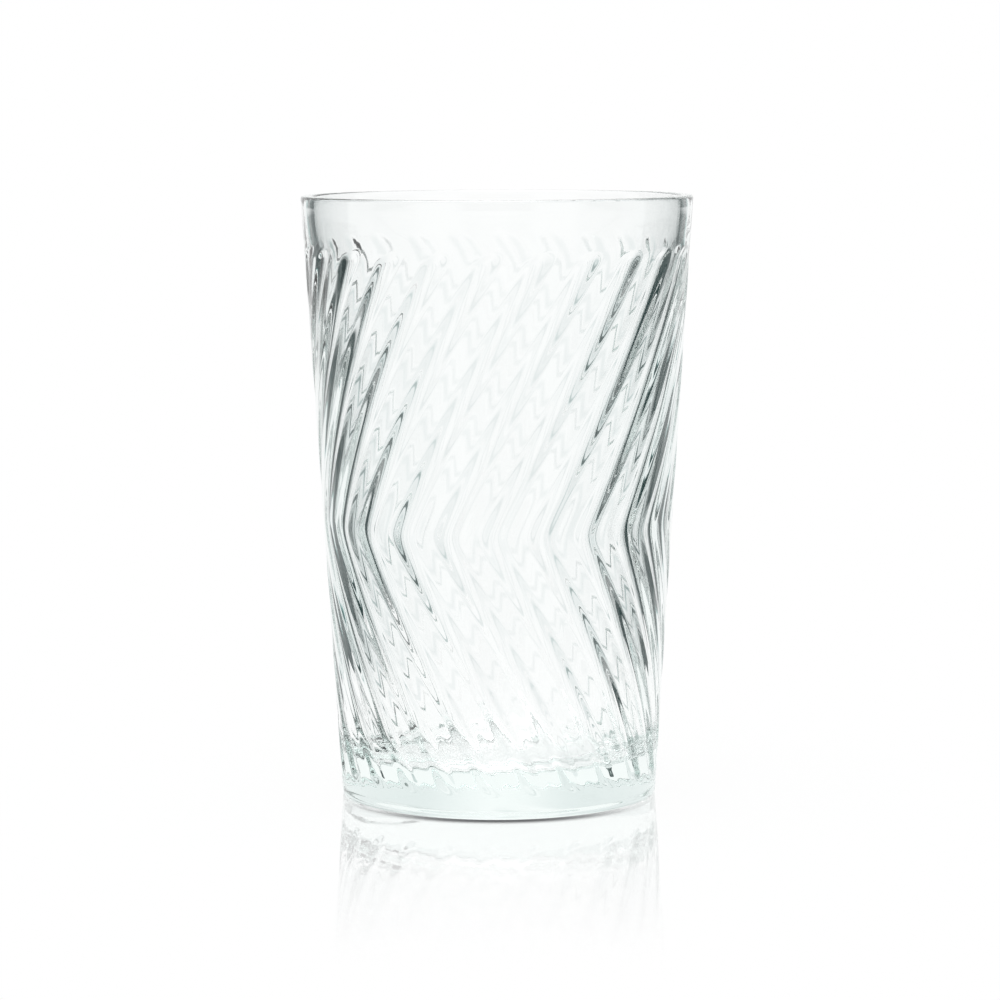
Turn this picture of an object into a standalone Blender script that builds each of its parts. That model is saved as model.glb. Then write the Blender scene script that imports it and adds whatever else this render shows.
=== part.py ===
"""Whisky tumbler of pressed clear glass, with chevron flutes round its wall.

Metres, +Z up. The origin is the centre of the resting ring, on the surface that the glass stands on.
The tumbler is one solid: a turned blank, whose outer side is then pressed with a ring of shallow flutes.
Each flute leans one way below the vertex and the other way above it, and ends in a round arch.
Soft sloping flanks lead from its narrow flat bottom up to the plain lands between the flutes.
"""

import math

import bpy

# Body
HEIGHT = 0.126
RIM_DIAMETER = 0.082
BASE_DIAMETER = 0.0663

# Walls and floor
RIM_WALL = 0.0026
SHOULDER_WALL = 0.0052
FOOT_WALL = 0.0045
LIP_BAND = 0.0039
SHOULDER_DROP = 0.035
LIP_RADIUS = 0.0006
FLOOR_THICKNESS = 0.0085
FLOOR_FILLET = 0.007

# Foot
HEEL_RADIUS = 0.0006
RING_WIDTH = 0.0065
RECESS_DEPTH = 0.0012
RECESS_SLOPE = 0.005

# Flutes
FLUTES = 24
FLUTE_SHARE = 0.61
FLAT_SHARE = 0.13
FLUTE_DEPTH = 0.00057
RIM_BAND = 0.010
HEEL_BAND = 0.0045
VERTEX_HEIGHT = 0.058
PITCHES_LEANED = 3.027
BEND_RADIUS = 0.0019
FLUTE_TURN = math.radians(-0.9)

# Facets
FLANK_PLACE = 0.4
FLUTE_PLACES = (-1, -FLANK_PLACE, 0, FLANK_PLACE, 1)
LIP_FACETS = 3
FILLET_FACETS = 5
HEEL_FACETS = 2
SHOULDER_RINGS = 4
ARCH_RINGS = 5
ARCH_REACH = 1.4
LEANING_RINGS = 6
BEND_RINGS = 4
BEND_REACH = 1.5
SHARP_EDGE = math.radians(60)

# Glass
GLASS_COLOUR = (0.90, 0.95, 0.93, 1.0)
GLASS_ROUGHNESS = 0.02
GLASS_IOR = 1.51

PITCH = 2 * math.pi / FLUTES
STEPS_PER_FLUTE = len(FLUTE_PLACES)
FIRST_MIDDLE = FLUTE_PLACES.index(0) / STEPS_PER_FLUTE
FLUTE_TOP = HEIGHT - RIM_BAND
FLUTE_FOOT = HEEL_BAND
SHOULDER_TOP = HEIGHT - LIP_BAND
SHOULDER_FOOT = SHOULDER_TOP - SHOULDER_DROP
MERGE_DISTANCE = 0.00001


def outer_radius(z):
    """Radius of the plain outer cone, which the lands between the flutes lie on."""
    slope = (RIM_DIAMETER - BASE_DIAMETER) / 2 / HEIGHT
    return BASE_DIAMETER / 2 + slope * z


def inner_radius(z):
    """Radius of the smooth inside: a thin drinking lip swells to a thick wall, then thickens slowly."""
    swell = min(1, max(0, (SHOULDER_TOP - z) / SHOULDER_DROP))
    drop = max(0, SHOULDER_FOOT - z) / (SHOULDER_FOOT - FLOOR_THICKNESS)
    wall = RIM_WALL + (SHOULDER_WALL - RIM_WALL) * swell ** 2 * (3 - 2 * swell)
    wall += (FOOT_WALL - SHOULDER_WALL) * drop
    return outer_radius(z) - wall


def spread(start, end, count):
    """Evenly spaced heights after start, up to and including end."""
    return [start + (end - start) * (i + 1) / count for i in range(count)]


def arc(centre_r, centre_z, radius, start, end, facets):
    """Points of a round corner after its first point; angles in degrees from straight outward."""
    points = []
    for angle in spread(start, end, facets):
        turn = math.radians(angle)
        points.append((centre_r + radius * math.cos(turn), centre_z + radius * math.sin(turn)))
    return points


def half_width(z):
    """Half the width of a flute, measured round the wall."""
    return outer_radius(z) * PITCH * FLUTE_SHARE / 2


def outer_heights():
    """Heights of the rings on the outer side, from the lip to the heel, closer where the flutes turn."""
    arch_below = FLUTE_TOP - ARCH_REACH * half_width(FLUTE_TOP)
    arch_above = FLUTE_FOOT + ARCH_REACH * half_width(FLUTE_FOOT)
    bend = BEND_REACH * BEND_RADIUS
    heights = [HEIGHT - LIP_RADIUS, FLUTE_TOP]
    heights += spread(FLUTE_TOP, arch_below, ARCH_RINGS)
    heights += spread(arch_below, VERTEX_HEIGHT + bend, LEANING_RINGS)
    heights += spread(VERTEX_HEIGHT + bend, VERTEX_HEIGHT - bend, BEND_RINGS)
    heights += spread(VERTEX_HEIGHT - bend, arch_above, LEANING_RINGS)
    heights += spread(arch_above, FLUTE_FOOT, ARCH_RINGS)
    heights.append(HEEL_RADIUS)
    return heights


def blank_profile():
    """Section of the blank, from the middle of the floor, over the lip and down to the recess."""
    lip_height = HEIGHT - LIP_RADIUS
    fillet_top = FLOOR_THICKNESS + FLOOR_FILLET
    fillet_centre = inner_radius(fillet_top) - FLOOR_FILLET
    profile = [(0, FLOOR_THICKNESS), (fillet_centre, FLOOR_THICKNESS)]
    profile += arc(fillet_centre, fillet_top, FLOOR_FILLET, -90, 0, FILLET_FACETS)
    lip_inside = inner_radius(lip_height) + LIP_RADIUS
    lip_outside = outer_radius(lip_height) - LIP_RADIUS
    inner_heights = [SHOULDER_FOOT] + spread(SHOULDER_FOOT, SHOULDER_TOP, SHOULDER_RINGS) + [lip_height]
    profile += [(inner_radius(z), z) for z in inner_heights]
    profile += arc(lip_inside, lip_height, LIP_RADIUS, 180, 90, LIP_FACETS)
    profile.append((lip_outside, HEIGHT))
    profile += arc(lip_outside, lip_height, LIP_RADIUS, 90, 0, LIP_FACETS)[:-1]
    profile += [(outer_radius(z), z) for z in outer_heights()]
    heel_centre = outer_radius(HEEL_RADIUS) - HEEL_RADIUS
    profile += arc(heel_centre, HEEL_RADIUS, HEEL_RADIUS, 0, -90, HEEL_FACETS)
    ring_inside = heel_centre - RING_WIDTH
    profile += [(ring_inside, 0), (ring_inside - RECESS_SLOPE, RECESS_DEPTH), (0, RECESS_DEPTH)]
    return profile


def turned(name, profile, steps):
    """Mesh object of a section turned once round the Z axis."""
    mesh = bpy.data.meshes.new(name + "_section")
    edges = [(i, i + 1) for i in range(len(profile) - 1)]
    mesh.from_pydata([(r, 0, z) for r, z in profile], edges, [])
    section = bpy.data.objects.new(name + "_section", mesh)
    bpy.context.scene.collection.objects.link(section)
    screw = section.modifiers.new("Turn", "SCREW")
    screw.axis = "Z"
    screw.angle = 2 * math.pi
    screw.steps = steps
    screw.render_steps = steps
    screw.use_merge_vertices = True
    screw.merge_threshold = MERGE_DISTANCE
    evaluated = section.evaluated_get(bpy.context.evaluated_depsgraph_get())
    solid = bpy.data.objects.new(name, bpy.data.meshes.new_from_object(evaluated))
    solid.data.name = name
    bpy.data.objects.remove(section)
    bpy.data.meshes.remove(mesh)
    return solid


def lean(z):
    """Turn of the flutes at a height: none at either end, most at the vertex, with a rounded bend."""
    reach = FLUTE_TOP - VERTEX_HEIGHT if z > VERTEX_HEIGHT else VERTEX_HEIGHT - FLUTE_FOOT
    rise = min(abs(z - VERTEX_HEIGHT), reach)
    share = (math.hypot(rise, BEND_RADIUS) - BEND_RADIUS) / (math.hypot(reach, BEND_RADIUS) - BEND_RADIUS)
    return -PITCHES_LEANED * PITCH * (1 - share)


def flute_press(across, z):
    """Depth pressed in at a place in a flute; across is -1 and 1 at the flute's two edges."""
    half = half_width(z)
    past_arch = max(0, z - (FLUTE_TOP - half), FLUTE_FOOT + half - z) / half
    flank = (math.hypot(across, past_arch) - FLAT_SHARE) / (1 - FLAT_SHARE)
    flank = min(1, max(0, flank))
    return FLUTE_DEPTH * (1 - flank ** 2 * (3 - 2 * flank))


def press_flutes(mesh):
    """Gathers the outer side's points into the flutes, leans them along the chevrons and presses them in."""
    for vertex in mesh.vertices:
        x, y, z = vertex.co
        radius = math.hypot(x, y)
        angle = math.atan2(y, x)
        on_outer_side = HEEL_RADIUS < z < HEIGHT - LIP_RADIUS and radius > outer_radius(z) - MERGE_DISTANCE
        if on_outer_side:
            flute, step = divmod(round(angle / PITCH * STEPS_PER_FLUTE), STEPS_PER_FLUTE)
            across = FLUTE_PLACES[step]
            radius -= flute_press(across, z)
            angle = (flute + FIRST_MIDDLE + across * FLUTE_SHARE / 2) * PITCH + lean(z)
        angle += FLUTE_TURN - FIRST_MIDDLE * PITCH
        vertex.co = (radius * math.cos(angle), radius * math.sin(angle), z)


def clear_glass():
    """Colourless pressed glass, faintly green where it is thick."""
    material = bpy.data.materials.new("clear_glass")
    material.use_nodes = True
    shader = material.node_tree.nodes["Principled BSDF"]
    shader.inputs["Base Color"].default_value = GLASS_COLOUR
    shader.inputs["Roughness"].default_value = GLASS_ROUGHNESS
    shader.inputs["Metallic"].default_value = 0
    shader.inputs["IOR"].default_value = GLASS_IOR
    shader.inputs["Transmission Weight"].default_value = 1
    return material


def main():
    for old in list(bpy.data.objects):
        bpy.data.objects.remove(old)
    parts = bpy.data.collections.new("whisky_glass")
    bpy.context.scene.collection.children.link(parts)
    tumbler = turned("tumbler", blank_profile(), FLUTES * STEPS_PER_FLUTE)
    press_flutes(tumbler.data)
    tumbler.data.shade_smooth()
    tumbler.data.set_sharp_from_angle(angle=SHARP_EDGE)
    tumbler.data.materials.append(clear_glass())
    parts.objects.link(tumbler)


main()
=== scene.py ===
import math

import bpy
import numpy as np
from mathutils import Matrix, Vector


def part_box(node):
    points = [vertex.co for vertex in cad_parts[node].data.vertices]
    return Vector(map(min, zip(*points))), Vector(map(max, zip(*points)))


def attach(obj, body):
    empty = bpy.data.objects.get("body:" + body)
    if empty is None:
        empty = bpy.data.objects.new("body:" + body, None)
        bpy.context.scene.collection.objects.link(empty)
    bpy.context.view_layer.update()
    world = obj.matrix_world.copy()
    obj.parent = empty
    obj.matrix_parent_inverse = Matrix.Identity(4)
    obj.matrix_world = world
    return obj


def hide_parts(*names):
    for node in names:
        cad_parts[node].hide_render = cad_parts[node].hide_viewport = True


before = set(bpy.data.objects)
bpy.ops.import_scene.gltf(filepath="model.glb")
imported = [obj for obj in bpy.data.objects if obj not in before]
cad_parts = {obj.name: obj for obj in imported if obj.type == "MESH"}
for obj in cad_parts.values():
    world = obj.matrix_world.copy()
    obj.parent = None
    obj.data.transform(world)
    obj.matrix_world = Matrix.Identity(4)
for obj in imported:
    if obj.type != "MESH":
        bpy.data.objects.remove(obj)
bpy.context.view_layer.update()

# The tumbler. One gob of clear soda-lime glass, pressed in a hot mould that leaves a ring of chevron flutes
# on the outer side. A smooth plunger forms the inside, and a flame rounds the lip's two corners.
# It stands on a flat ring round a shallow recess, and nothing is fixed to it.
FLUTES = 24
PITCH = 2 * math.pi / FLUTES
FLUTE_SHARE = 0.61
FLAT_SHARE = 0.13
FLUTE_DEPTH = 0.00057
LAND_HOLLOW = 0.00005
LAND_FADE = 1.5
FLUTE_TOP = 0.116
FLUTE_FOOT = 0.0045
VERTEX_HEIGHT = 0.058
PITCHES_LEANED = 3.027
BEND_RADIUS = 0.0019
FLUTE_TURN = math.radians(-0.9)

glass_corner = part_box("tumbler")[1]
HEIGHT = glass_corner[2]
RIM_RADIUS = glass_corner[0]
BASE_RADIUS = 0.03315
RIM_WALL = 0.0026
SHOULDER_WALL = 0.0052
SHOULDER_TOP = 0.1221
SHOULDER_FOOT = 0.0871
FOOT_WALL = 0.0045
LIP_RADIUS = 0.0006
FLOOR_THICKNESS = 0.0085
FLOOR_FILLET = 0.007
HEEL_RADIUS = 0.0006
RING_WIDTH = 0.0065
RECESS_DEPTH = 0.0004
RECESS_SLOPE = 0.005

FLANK_COLUMNS = 8
FLAT_COLUMNS = 1
LAND_COLUMNS = 4
HEEL_RINGS = 3
ARCH_RINGS = 14
ARCH_REACH = 1.3
LEAN_RINGS = 26
BEND_RINGS = 16
BEND_REACH = 4
RIM_RINGS = 5
WALL_RINGS = 24
FLOOR_RINGS = 4
CORNER_POINTS = 9
FILLET_POINTS = 14
RECESS_POINTS = 9


def outer_radius(z):
    """Radius of the plain outer cone, which the lands between the flutes lie on."""
    return BASE_RADIUS + (RIM_RADIUS - BASE_RADIUS) * z / HEIGHT


def inner_radius(z):
    """Radius of the smooth inside: a thin lip swells to a thick wall, which thins a little to the foot."""
    share = np.clip((SHOULDER_TOP - z) / (SHOULDER_TOP - SHOULDER_FOOT), 0, 1)
    swell = share ** 2 * (3 - 2 * share)
    drop = np.clip((SHOULDER_FOOT - z) / (SHOULDER_FOOT - FLOOR_THICKNESS), 0, 1)
    wall = RIM_WALL + (SHOULDER_WALL - RIM_WALL) * swell + (FOOT_WALL - SHOULDER_WALL) * drop
    return outer_radius(z) - wall


def arc(centre_r, centre_z, radius, start, end, count):
    """Points of a round corner, with angles in degrees from straight outward."""
    turns = np.radians(np.linspace(start, end, count))
    return [(centre_r + radius * math.cos(t), centre_z + radius * math.sin(t)) for t in turns]


def flute_half_width(z):
    """Half the width of a flute, measured round the wall."""
    return outer_radius(z) * PITCH * FLUTE_SHARE / 2


def outer_heights():
    """Heights of the rings on the outer side, from heel to lip, closer where the flutes turn or end."""
    arch_foot = FLUTE_FOOT + ARCH_REACH * flute_half_width(FLUTE_FOOT)
    arch_top = FLUTE_TOP - ARCH_REACH * flute_half_width(FLUTE_TOP)
    bend = BEND_REACH * BEND_RADIUS
    stops = [
        (HEEL_RADIUS, HEEL_RINGS),
        (FLUTE_FOOT, ARCH_RINGS),
        (arch_foot, LEAN_RINGS),
        (VERTEX_HEIGHT - bend, BEND_RINGS),
        (VERTEX_HEIGHT + bend, LEAN_RINGS),
        (arch_top, ARCH_RINGS),
        (FLUTE_TOP, RIM_RINGS),
        (HEIGHT - LIP_RADIUS, 1),
    ]
    heights = []
    for (start, count), (end, _) in zip(stops, stops[1:]):
        heights.extend(np.linspace(start, end, count, endpoint=False))
    return heights


def turned_sections():
    """The glass's section as (radius, height) runs: underside, outer side, then lip, inside and floor."""
    heel_centre = outer_radius(HEEL_RADIUS) - HEEL_RADIUS
    ring_inside = heel_centre - RING_WIDTH
    recess_edge = ring_inside - RECESS_SLOPE
    shares = np.linspace(0, 1, FLOOR_RINGS + 1)[1:-1]
    underside = [(recess_edge * share, RECESS_DEPTH) for share in shares]
    for share in np.linspace(0, 1, RECESS_POINTS):
        ease = (1 + math.cos(math.pi * share)) / 2
        underside.append((recess_edge + RECESS_SLOPE * share, RECESS_DEPTH * ease))
    underside.append((ring_inside + RING_WIDTH / 2, 0))
    underside += arc(heel_centre, HEEL_RADIUS, HEEL_RADIUS, -90, 0, CORNER_POINTS)[:-1]
    outer = [(outer_radius(z), z) for z in outer_heights()]
    lip_height = HEIGHT - LIP_RADIUS
    lip_outside = outer_radius(lip_height) - LIP_RADIUS
    lip_inside = inner_radius(lip_height) + LIP_RADIUS
    inside = arc(lip_outside, lip_height, LIP_RADIUS, 0, 90, CORNER_POINTS)
    inside += arc(lip_inside, lip_height, LIP_RADIUS, 90, 180, CORNER_POINTS)
    fillet_top = FLOOR_THICKNESS + FLOOR_FILLET
    fillet_centre = inner_radius(fillet_top) - FLOOR_FILLET
    depths = (lip_height - fillet_top) * np.linspace(0, 1, WALL_RINGS + 2)[1:-1] ** 2
    inside += [(inner_radius(lip_height - depth), lip_height - depth) for depth in depths]
    inside += arc(fillet_centre, fillet_top, FLOOR_FILLET, 0, -90, FILLET_POINTS)
    shares = np.linspace(1, 0, FLOOR_RINGS + 2)[1:-1]
    inside += [(fillet_centre * share, FLOOR_THICKNESS) for share in shares]
    return underside, outer, inside


def lean(z):
    """Turn of the flutes at a height: none at either end, most at the vertex, with a rounded bend."""
    reach = np.where(z > VERTEX_HEIGHT, FLUTE_TOP - VERTEX_HEIGHT, VERTEX_HEIGHT - FLUTE_FOOT)
    rise = np.minimum(abs(z - VERTEX_HEIGHT), reach)
    bent = np.hypot(rise, BEND_RADIUS) - BEND_RADIUS
    full = np.hypot(reach, BEND_RADIUS) - BEND_RADIUS
    return -PITCHES_LEANED * PITCH * (1 - bent / full)


def flute_press(across, z):
    """Depth pressed in at a place; across is -1 and 1 at a flute's two edges, and more on the land."""
    half = flute_half_width(z)
    past_arch = np.maximum(0, np.maximum(z - FLUTE_TOP + half, FLUTE_FOOT + half - z)) / half
    flank = np.clip((np.hypot(across, past_arch) - FLAT_SHARE) / (1 - FLAT_SHARE), 0, 1)
    flute = FLUTE_DEPTH * (1 - flank ** 2 * (3 - 2 * flank))
    land_middle = 1 / FLUTE_SHARE
    off_middle = (land_middle - abs(across)) / (land_middle - 1)
    land = LAND_HOLLOW * np.maximum(0, 1 - off_middle ** 2)
    return flute + land * np.clip(LAND_FADE - LAND_FADE * past_arch, 0, 1)


def tumbler_mesh():
    """Rings of points for the whole skin, joined ring to ring and closed at both ends on the axis."""
    underside, outer, inside = turned_sections()
    section = np.array(underside + outer + inside)
    radius = section[:, :1]
    z = section[:, 1:]
    fluted = np.zeros_like(z)
    fluted[len(underside):len(underside) + len(outer)] = 1
    across = np.concatenate([
        np.linspace(-1, -FLAT_SHARE, FLANK_COLUMNS, endpoint=False),
        np.linspace(-FLAT_SHARE, FLAT_SHARE, FLAT_COLUMNS, endpoint=False),
        np.linspace(FLAT_SHARE, 1, FLANK_COLUMNS, endpoint=False),
        np.linspace(1, 2 / FLUTE_SHARE - 1, LAND_COLUMNS, endpoint=False),
    ])
    place = np.tile(across * FLUTE_SHARE / 2, FLUTES)
    flute_number = np.repeat(np.arange(FLUTES), len(across))
    angle = (flute_number + place) * PITCH + FLUTE_TURN + lean(z) * fluted
    radius = radius - flute_press(place * 2 / FLUTE_SHARE, z) * fluted
    rings, columns = angle.shape
    points = np.stack([radius * np.cos(angle), radius * np.sin(angle), z + 0 * angle], axis=-1)
    points = points.reshape(-1, 3).tolist()
    faces = []
    for ring in range(rings - 1):
        for column in range(columns):
            after = (column + 1) % columns
            start = ring * columns
            faces.append((start + column, start + after, start + columns + after, start + columns + column))
    points += [(0, 0, RECESS_DEPTH), (0, 0, FLOOR_THICKNESS)]
    top = (rings - 1) * columns
    for column in range(columns):
        after = (column + 1) % columns
        faces.append((rings * columns, after, column))
        faces.append((rings * columns + 1, top + column, top + after))
    mesh = bpy.data.meshes.new("tumbler_glass")
    mesh.from_pydata(points, [], faces)
    mesh.shade_smooth()
    return mesh


class Value:
    """One socket of a node tree: sums on it add Math nodes, and node() adds any other node."""

    def __init__(self, tree, socket=None):
        self.tree = tree
        self.socket = socket

    def node(self, kind, settings, inputs, output=0):
        made = self.tree.nodes.new("ShaderNode" + kind)
        for name, setting in settings.items():
            setattr(made, name, setting)
        for name, given in inputs.items():
            if isinstance(given, Value):
                self.tree.links.new(given.socket, made.inputs[name])
            else:
                made.inputs[name].default_value = given
        return Value(self.tree, made.outputs[output] if made.outputs else None)

    def sum(self, operation, *terms):
        return self.node("Math", {"operation": operation}, dict(enumerate(terms)))

    def __add__(self, other):
        return self.sum("ADD", self, other)

    def __radd__(self, other):
        return self.sum("ADD", other, self)

    def __sub__(self, other):
        return self.sum("SUBTRACT", self, other)

    def __rsub__(self, other):
        return self.sum("SUBTRACT", other, self)

    def __mul__(self, other):
        return self.sum("MULTIPLY", self, other)

    def __rmul__(self, other):
        return self.sum("MULTIPLY", other, self)

    def step(self, start, end):
        """0 before start, 1 after end, and a smooth rise between them."""
        limits = {"Value": self, "From Min": start, "From Max": end}
        return self.node("MapRange", {"interpolation_type": "SMOOTHSTEP"}, limits, "Result")


GLASS_IOR = 1.51
RIPPLE_SCALE = 90.0
RIPPLE_DETAIL = 1.0
CORD_SCALE = (240.0, 240.0, 30.0)
CORD_DETAIL = 2.0
CORD_SHARE = 0.3
HAZE_SCALE = 35.0
HAZE_DETAIL = 4.0
HAZE_START = 0.55
HAZE_END = 0.8
HAZE_ROUGHNESS = 0.012
RIPPLE_STRENGTH = 0.25
RIPPLE_HEIGHT = 0.00004
CORD_TINT = (0.99, 0.998, 0.996, 1)
CLEAR_TINT = (0.998, 1.0, 0.999, 1)
BODY_COLOUR = (0.72, 0.95, 0.89, 1)
BODY_DENSITY = 4.0


def pressed_glass():
    """Clear glass with a faint sea-green body, the plunger's slight ripple and a trace of handling haze."""
    material = bpy.data.materials.new("pressed_glass")
    material.use_nodes = True
    tree = material.node_tree
    tree.nodes.clear()
    glass = Value(tree)
    place = glass.node("TexCoord", {}, {}, "Object")
    waves = {"Vector": place, "Scale": RIPPLE_SCALE, "Detail": RIPPLE_DETAIL}
    ripple = glass.node("TexNoise", {}, waves, "Fac")
    cords = glass.node("Mapping", {}, {"Vector": place, "Scale": CORD_SCALE}, "Vector")
    cords = glass.node("TexNoise", {}, {"Vector": cords, "Scale": 1.0, "Detail": CORD_DETAIL}, "Fac")
    haze = glass.node("TexNoise", {}, {"Vector": place, "Scale": HAZE_SCALE, "Detail": HAZE_DETAIL}, "Fac")
    tint = glass.node("Mix", {"data_type": "RGBA"}, {"Factor": cords, 6: CORD_TINT, 7: CLEAR_TINT}, 2)
    relief = {"Height": ripple + CORD_SHARE * cords, "Strength": RIPPLE_STRENGTH, "Distance": RIPPLE_HEIGHT}
    normal = glass.node("Bump", {}, relief)
    surface = glass.node(
        "BsdfPrincipled",
        {},
        {
            "Base Color": tint,
            "Roughness": HAZE_ROUGHNESS * haze.step(HAZE_START, HAZE_END),
            "Normal": normal,
            "IOR": GLASS_IOR,
            "Transmission Weight": 1.0,
        },
    )
    body = glass.node("VolumeAbsorption", {}, {"Color": BODY_COLOUR, "Density": BODY_DENSITY})
    glass.node("OutputMaterial", {}, {"Surface": surface, "Volume": body})
    return material


tumbler = bpy.data.objects.new("tumbler_glass", tumbler_mesh())
bpy.context.scene.collection.objects.link(tumbler)
tumbler.data.materials.append(pressed_glass())
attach(tumbler, "root")
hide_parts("tumbler")

# The table top. A round white sheet of polished acrylic that the glass stands on, just below its resting
# ring. It mirrors the foot softly, has a thin shadow painted along the foot's front, and runs out to plain
# white.
TABLE_RADIUS = 0.17
TABLE_SIDES = 128
TABLE_GAP = 0.0002
POLISH_START = 0.03
POLISH_END = 0.16
POLISH = 0.5
POLISH_ROUGHNESS = 0.02
WHITE = (1, 1, 1, 1)
SHEET_COLOUR = (0.9, 0.92, 0.915, 1)
LIT_SHARE = 0.1
# The thin dark line along the foot's front is a painted shadow: how far it reaches past the ring, where
# round the front it starts, and its colour.
PAINTED_SHADOW_REACH = 0.004
PAINTED_SHADOW_START = 0.4
PAINTED_SHADOW_COLOUR = (0.12, 0.12, 0.125, 1)


def white_acrylic():
    """White sheet shown plain white, with some of its lit face, a polish near the glass and a painted
    shadow at the foot's front.
    """
    material = bpy.data.materials.new("white_acrylic")
    material.use_nodes = True
    tree = material.node_tree
    tree.nodes.clear()
    sheet = Value(tree)
    place = sheet.node("TexCoord", {}, {}, "Object")
    out = sheet.node("VectorMath", {"operation": "LENGTH"}, {0: place}, "Value")
    near = 1 - out.step(POLISH_START, POLISH_END)
    by_eye = sheet.node("LightPath", {}, {}, "Is Camera Ray")
    seen = by_eye + sheet.node("LightPath", {}, {}, "Is Glossy Ray")
    seen = seen + sheet.node("LightPath", {}, {}, "Is Transmission Ray")
    # Painted shadow: a thin dark band painted just outside the foot's ring on its front side, seen by
    # camera rays only.
    painted_shadow_ahead = sheet.node("SeparateXYZ", {}, {0: place}, "Y") * (-1 / BASE_RADIUS)
    painted_shadow_ring = 1 - out.step(BASE_RADIUS, BASE_RADIUS + PAINTED_SHADOW_REACH)
    painted_contact_shadow = painted_shadow_ahead.step(PAINTED_SHADOW_START, 1) * painted_shadow_ring * by_eye
    lit = sheet.node("BsdfDiffuse", {}, {"Color": SHEET_COLOUR})
    shades = {"Factor": painted_contact_shadow, 6: WHITE, 7: PAINTED_SHADOW_COLOUR}
    shown = sheet.node("Mix", {"data_type": "RGBA"}, shades, 2)
    plain = sheet.node("Emission", {}, {"Color": shown})
    face = sheet.node("MixShader", {}, {0: seen * (1 - LIT_SHARE * near), 1: lit, 2: plain})
    mirror = sheet.node("BsdfGlossy", {}, {"Color": WHITE, "Roughness": POLISH_ROUGHNESS})
    polished = sheet.node("MixShader", {}, {0: POLISH * near * (1 - painted_contact_shadow), 1: face, 2: mirror})
    sheet.node("OutputMaterial", {}, {"Surface": polished})
    return material


bpy.ops.mesh.primitive_circle_add(vertices=TABLE_SIDES, radius=TABLE_RADIUS, fill_type="NGON")
table = bpy.context.object
table.location.z = -TABLE_GAP
table.name = "table_top"
table.data.materials.append(white_acrylic())

# The light tent. White cloth hangs all round the table, with a dark gap at the back on each side, which
# clear glass needs for its edges to show, and an open front with the studio beyond. The gaps and the studio
# show only in the glass. A broad soft lamp above the table gives the plain light.
BACK_PANEL = math.radians(24)
SIDE_PANEL = math.radians(12)
PANEL_EDGE = math.radians(2)
FALL_COLOUR = (0.83, 0.86, 0.86, 1)
HEM_WIDTH = math.radians(2)
HEM_COLOUR = (0.16, 0.38, 0.36, 1)
SOFT_START = math.radians(20)
SOFT_END = math.radians(33)
GAP_COLOUR = (0.0, 0.026, 0.025, 1)
GAP_TOP = math.radians(6)
GAP_LOW = math.radians(-20)
GAP_FADE = math.radians(2)
TURNED_TOP = math.radians(-3.5)
TURNED_FADE = math.radians(1)
MIDDLE_FADE = 0.02
DOOR_EDGE = math.radians(22)
SOFTBOX_EDGE = math.radians(52)
STUDIO_FADE = math.radians(5)
STUDIO_FOOT = math.radians(-7)
STUDIO_TOP = math.radians(3)
FRONT_FADE = 0.1
DOOR_COLOUR = (0.5, 0.51, 0.51, 1)
STUDIO_COLOUR = (0.5, 0.52, 0.52, 1)
PLAIN_LIGHT = (0.7, 0.7, 0.7, 1)
LAMP_SIZE = 0.8
LAMP_POWER = 3
LAMP_PLACE = (-0.15, -0.1, 1.0)

world = bpy.data.worlds.new("light_tent")
bpy.context.scene.world = world
world.use_nodes = True
world.node_tree.nodes.clear()
tent = Value(world.node_tree)


def blended(share, first, second):
    """Mix of two colours, from the first at a share of 0 to the second at 1."""
    return tent.node("Mix", {"data_type": "RGBA"}, {"Factor": share, 6: first, 7: second}, 2)


# Where a ray goes, as a turn away from the back or front panel's middle and a rise above the table.
towards = tent.node("TexCoord", {}, {}, "Generated")
side_x = tent.node("SeparateXYZ", {}, {0: towards}, "X")
side_y = tent.node("SeparateXYZ", {}, {0: towards}, "Y")
elevation = tent.sum("ARCSINE", tent.node("SeparateXYZ", {}, {0: towards}, "Z"))
bearing = tent.sum("ARCTAN2", side_x, side_y)
off_middle = tent.sum("ABSOLUTE", tent.sum("WRAP", bearing, math.pi / 2, -math.pi / 2))
at_right = side_x.step(-MIDDLE_FADE, MIDDLE_FADE)
at_back = side_y.step(-MIDDLE_FADE, MIDDLE_FADE)
at_front = 1 - side_y.step(-FRONT_FADE, FRONT_FADE)

# Light that runs straight through the glass meets the gap's edge softly, and light turned back inside the
# glass meets it sharply, and only low down.
straight = 1 - tent.node("LightPath", {}, {}, "Glossy Depth").step(0, 1)
soft_edge = off_middle.step(SOFT_START, SOFT_END)
hem = off_middle.step(BACK_PANEL - HEM_WIDTH - PANEL_EDGE, BACK_PANEL - HEM_WIDTH + PANEL_EDGE)
hem = hem + straight * (soft_edge - hem)
gap = off_middle.step(BACK_PANEL - PANEL_EDGE, BACK_PANEL + PANEL_EDGE)
gap = gap + straight * (soft_edge - gap)
off_side = math.pi / 2 - off_middle
below_top = 1 - elevation.step(GAP_TOP - GAP_FADE, GAP_TOP + GAP_FADE)
above_low = elevation.step(GAP_LOW - GAP_FADE, GAP_LOW + GAP_FADE)
open_height = below_top * (above_low + (1 - above_low) * at_right)
above_turned = elevation.step(TURNED_TOP - TURNED_FADE, TURNED_TOP + TURNED_FADE)
open_height = open_height * (1 - above_turned * (1 - straight))
open_side = off_side.step(SIDE_PANEL - PANEL_EDGE, SIDE_PANEL + PANEL_EDGE) * at_back
through_glass = tent.node("LightPath", {}, {}, "Is Transmission Ray")
fall = off_middle.step(0, BACK_PANEL - HEM_WIDTH) * off_side.step(0, SIDE_PANEL)
cloth = blended(fall * through_glass, WHITE, FALL_COLOUR)
cloth = blended(hem * open_side * open_height * through_glass, cloth, blended(gap, HEM_COLOUR, GAP_COLOUR))

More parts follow.
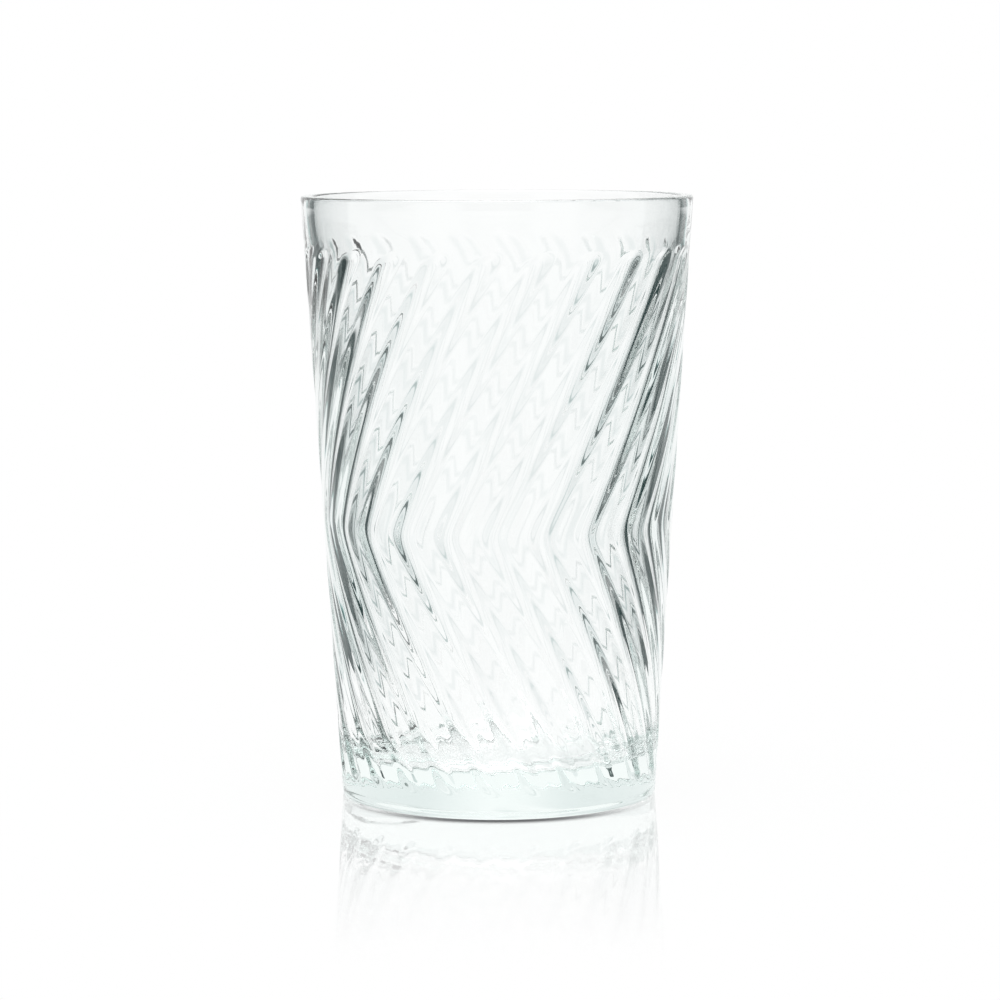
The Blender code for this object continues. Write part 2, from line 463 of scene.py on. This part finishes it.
# The open front: a doorway, a white softbox on each side of it, then the studio.
past_door = off_middle.step(DOOR_EDGE - STUDIO_FADE, DOOR_EDGE + STUDIO_FADE)
past_softbox = off_middle.step(SOFTBOX_EDGE - STUDIO_FADE, SOFTBOX_EDGE + STUDIO_FADE)
studio = blended(past_softbox, blended(past_door, DOOR_COLOUR, WHITE), STUDIO_COLOUR)
off_glass = tent.node("LightPath", {}, {}, "Is Glossy Ray") * at_front
off_glass = off_glass * elevation.step(STUDIO_FOOT - GAP_FADE, STUDIO_FOOT + GAP_FADE)
off_glass = off_glass * (1 - elevation.step(STUDIO_TOP - GAP_FADE, STUDIO_TOP + GAP_FADE))
cloth = blended(off_glass, cloth, studio)
cloth = blended(tent.node("LightPath", {}, {}, "Is Diffuse Ray"), cloth, PLAIN_LIGHT)
glow = tent.node("Background", {}, {"Color": cloth})
tent.node("OutputWorld", {}, {"Surface": glow})

lamp = bpy.data.objects.new("top_softbox", bpy.data.lights.new("top_softbox", "AREA"))
lamp.data.size = LAMP_SIZE
lamp.data.energy = LAMP_POWER
lamp.location = LAMP_PLACE
bpy.context.scene.collection.objects.link(lamp)

# The camera. A long lens a little above the rim, pitched down at the glass as it was photographed.
# Rays have room for every crossing of the glass walls, and the colours show as they are.
CAMERA_PLACE = (0.00043, -0.74925, 0.1471)
CAMERA_PITCH = math.radians(6.49)
CAMERA_ROLL = math.radians(-0.2)
SENSOR_WIDTH = 36
FOCAL_LENGTH = 128.8
NEAREST = 0.01
RAY_CROSSINGS = 24
RAY_MIRRORINGS = 12

camera = bpy.data.objects.new("camera", bpy.data.cameras.new("camera"))
camera.data.sensor_width = SENSOR_WIDTH
camera.data.lens = FOCAL_LENGTH
camera.data.clip_start = NEAREST
camera.matrix_world = (
    Matrix.Translation(CAMERA_PLACE)
    @ Matrix.Rotation(math.pi / 2 - CAMERA_PITCH, 4, "X")
    @ Matrix.Rotation(CAMERA_ROLL, 4, "Z")
)
bpy.context.scene.collection.objects.link(camera)
bpy.context.scene.camera = camera
bpy.context.scene.view_settings.view_transform = "Standard"
bpy.context.scene.cycles.max_bounces = RAY_CROSSINGS
bpy.context.scene.cycles.transmission_bounces = RAY_CROSSINGS
bpy.context.scene.cycles.glossy_bounces = RAY_MIRRORINGS
